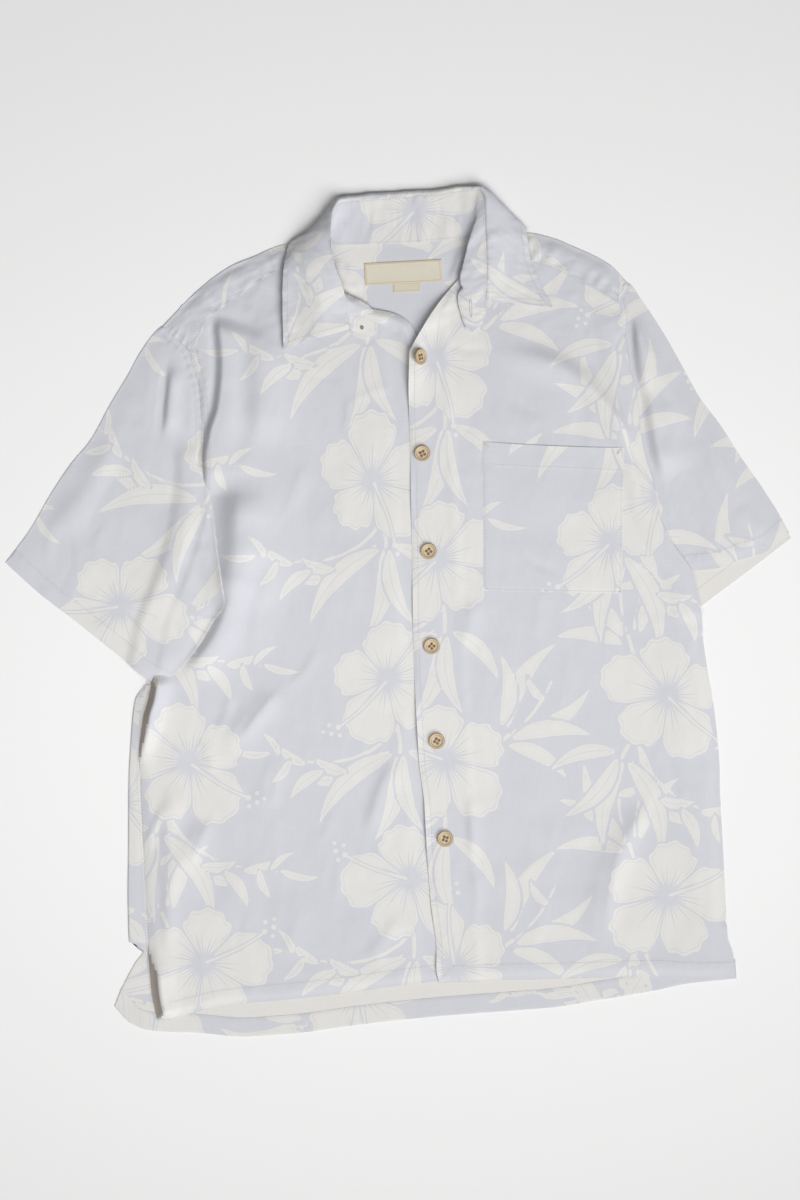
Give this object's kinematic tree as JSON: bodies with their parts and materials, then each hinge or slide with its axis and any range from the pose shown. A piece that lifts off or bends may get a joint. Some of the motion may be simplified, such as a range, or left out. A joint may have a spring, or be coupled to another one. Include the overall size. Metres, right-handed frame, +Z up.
{
  "type": "hawaiian shirt",
  "caption": "Short-sleeved button-front camp shirt laid flat on its back, with an open spread collar, a breast pocket, side vents and a floral print.",
  "frame": {"origin": "on the surface that the shirt lies on, below the centre of its outline", "axes": "+Z up out of the surface, through the front; +Y from hem to collar along the button line; +X to the wearer's left"},
  "size_m": [0.748, 0.7926, 0.0216],
  "materials": {
    "back_cloth": "soft matte floral print",
    "yoke_cloth": "soft matte floral print",
    "right_front_cloth": "soft matte floral print",
    "left_front_cloth": "soft matte floral print",
    "right_sleeve_cloth": "soft matte floral print",
    "left_sleeve_cloth": "soft matte floral print",
    "stand_cloth": "soft matte floral print",
    "leaf_cloth": "soft matte floral print",
    "pocket_cloth": "soft matte floral print",
    "label_weave": "satin weave",
    "tag_weave": "satin weave",
    "button_wood": "turned and waxed"
  },
  "bodies": {
    "root": {"back": "back_cloth", "yoke": "yoke_cloth", "front_right": "right_front_cloth", "front_left": "left_front_cloth", "sleeve_right": "right_sleeve_cloth", "sleeve_left": "left_sleeve_cloth", "collar_stand": "stand_cloth", "collar_leaf": "leaf_cloth", "pocket": "pocket_cloth", "label": "label_weave", "size_tag": "tag_weave", "button_1": "button_wood", "button_2": "button_wood", "button_3": "button_wood", "button_4": "button_wood", "button_5": "button_wood", "button_6": "button_wood"}
  },
  "joints": []
}
